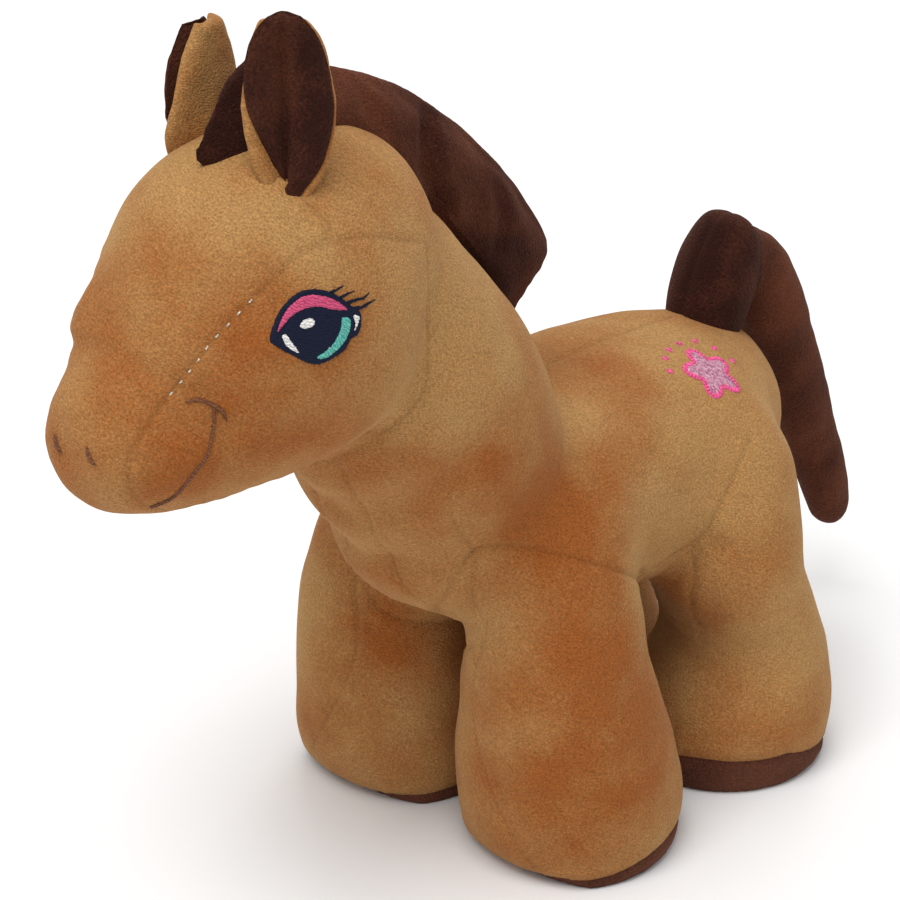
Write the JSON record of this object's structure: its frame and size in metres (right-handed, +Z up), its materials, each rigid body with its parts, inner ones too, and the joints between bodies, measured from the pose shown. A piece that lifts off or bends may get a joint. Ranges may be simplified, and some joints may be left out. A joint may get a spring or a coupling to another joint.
{
  "type": "plush horse",
  "caption": "Stuffed plush horse standing on its legs, with a stuffed mane and tail, upright ears and an embroidered face.",
  "frame": {"origin": "on the floor under the middle of the bounding box", "axes": "+Z up, the nose faces -Y, the horse's own left side is +X"},
  "size_m": [0.1322, 0.331, 0.2757],
  "materials": {
    "tan_plush": "short-pile brushed plush, matt with a soft sheen",
    "dark_plush": "dark brown plush, matt with a soft sheen",
    "stuffing": "polyester fibre filling",
    "navy_thread": "satin-stitch embroidery thread",
    "pink_thread": "satin-stitch embroidery thread",
    "teal_thread": "satin-stitch embroidery thread",
    "brown_thread": "embroidery thread"
  },
  "bodies": {
    "torso": {"body_stuffing": "stuffing", "belly_gusset": "tan_plush", "body_side_left": "tan_plush", "body_side_right": "tan_plush", "rump_embroidery": "pink_thread"},
    "head": {"neck_stuffing": "stuffing", "head_stuffing": "stuffing", "mane_stuffing": "stuffing", "neck_side_left": "tan_plush", "neck_side_right": "tan_plush", "forehead_gusset": "tan_plush", "chin_gusset": "tan_plush", "cheek_left": "tan_plush", "cheek_right": "tan_plush", "mane_left": "dark_plush", "mane_right": "dark_plush", "eye_ground_left": "navy_thread", "eyelid_left": "pink_thread", "eye_arc_left": "teal_thread", "mouth_left": "brown_thread", "nostril_left": "brown_thread", "eye_ground_right": "navy_thread", "eyelid_right": "pink_thread", "eye_arc_right": "teal_thread", "mouth_right": "brown_thread", "nostril_right": "brown_thread"},
    "ear_left": {"ear_back_left": "tan_plush", "ear_lining_left": "dark_plush"},
    "leg_front_left": {"front_left_leg_outer": "tan_plush", "front_left_leg_inner": "tan_plush", "front_left_leg_stuffing": "stuffing", "front_left_sole": "dark_plush"},
    "leg_rear_left": {"rear_left_leg_outer": "tan_plush", "rear_left_leg_inner": "tan_plush", "rear_left_leg_stuffing": "stuffing", "rear_left_sole": "dark_plush"},
    "ear_right": {"ear_back_right": "tan_plush", "ear_lining_right": "dark_plush"},
    "leg_front_right": {"front_right_leg_outer": "tan_plush", "front_right_leg_inner": "tan_plush", "front_right_leg_stuffing": "stuffing", "front_right_sole": "dark_plush"},
    "leg_rear_right": {"rear_right_leg_outer": "tan_plush", "rear_right_leg_inner": "tan_plush", "rear_right_leg_stuffing": "stuffing", "rear_right_sole": "dark_plush"},
    "tail_root": {"tail_root_skin": "dark_plush", "tail_root_stuffing": "stuffing"},
    "tail_drop": {"tail_drop_skin": "dark_plush", "tail_drop_stuffing": "stuffing"}
  },
  "joints": [
    {"name": "neck_nod", "type": "hinge", "parent": "torso", "child": "head", "pos_m": [0, -0.04966, 0.15], "axis": [1, 0, 0], "range_deg": [-8, 8], "stiffness_Nm_per_rad": 8},
    {"name": "left_ear_fold", "type": "hinge", "parent": "head", "child": "ear_left", "pos_m": [0.0175, -0.10466, 0.225], "axis": [0.5736, 0.8192, 0], "range_deg": [-8, 20], "stiffness_Nm_per_rad": 0.2},
    {"name": "right_ear_fold", "type": "hinge", "parent": "head", "child": "ear_right", "pos_m": [-0.018, -0.09666, 0.213], "axis": [0.1045, -0.9945, 0], "range_deg": [-8, 20], "stiffness_Nm_per_rad": 0.2},
    {"name": "front_left_leg_swing", "type": "hinge", "parent": "torso", "child": "leg_front_left", "pos_m": [0.0339, -0.00966, 0.092], "axis": [1, 0, 0], "range_deg": [-15, 2], "stiffness_Nm_per_rad": 4},
    {"name": "front_right_leg_swing", "type": "hinge", "parent": "torso", "child": "leg_front_right", "pos_m": [-0.0339, -0.00966, 0.092], "axis": [1, 0, 0], "range_deg": [-15, 2], "stiffness_Nm_per_rad": 4},
    {"name": "rear_left_leg_swing", "type": "hinge", "parent": "torso", "child": "leg_rear_left", "pos_m": [0.0339, 0.06204, 0.092], "axis": [1, 0, 0], "range_deg": [-2, 15], "stiffness_Nm_per_rad": 4},
    {"name": "rear_right_leg_swing", "type": "hinge", "parent": "torso", "child": "leg_rear_right", "pos_m": [-0.0339, 0.06204, 0.092], "axis": [1, 0, 0], "range_deg": [-2, 15], "stiffness_Nm_per_rad": 4},
    {"name": "tail_lift", "type": "hinge", "parent": "torso", "child": "tail_root", "pos_m": [0, 0.08774, 0.1261], "axis": [1, 0, 0], "range_deg": [-6, 12], "stiffness_Nm_per_rad": 2},
    {"name": "tail_bend", "type": "hinge", "parent": "tail_root", "child": "tail_drop", "pos_m": [0, 0.10884, 0.14725], "axis": [1, 0, 0], "range_deg": [-3, 12], "stiffness_Nm_per_rad": 1}
  ]
}
